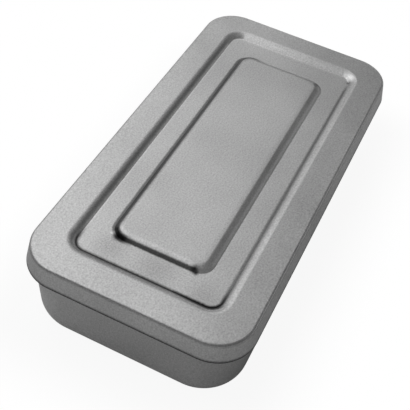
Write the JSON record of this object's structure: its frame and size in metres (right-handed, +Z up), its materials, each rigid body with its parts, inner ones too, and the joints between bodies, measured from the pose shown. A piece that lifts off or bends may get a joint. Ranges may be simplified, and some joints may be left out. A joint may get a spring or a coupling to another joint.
{
  "type": "instrument box",
  "caption": "Rectangular drawn-steel instrument box with rounded corners and a slip-over lid that has a recessed channel round a flat centre panel.",
  "frame": {"origin": "middle of the box's footprint, on the surface that the box stands on, with the lid closed", "axes": "+X along the long sides, +Y along the short sides, +Z up out of the lid"},
  "size_m": [0.2026, 0.1026, 0.045],
  "materials": {
    "satin_steel": "satin stainless steel, finely matted, neutral grey"
  },
  "bodies": {
    "box": {"box_body": "satin_steel"},
    "lid": {"lid": "satin_steel"}
  },
  "joints": [
    {"name": "lid_lift", "type": "slide", "parent": "box", "child": "lid", "axis": [0, 0, 1], "range_m": [0, 0.08]}
  ]
}
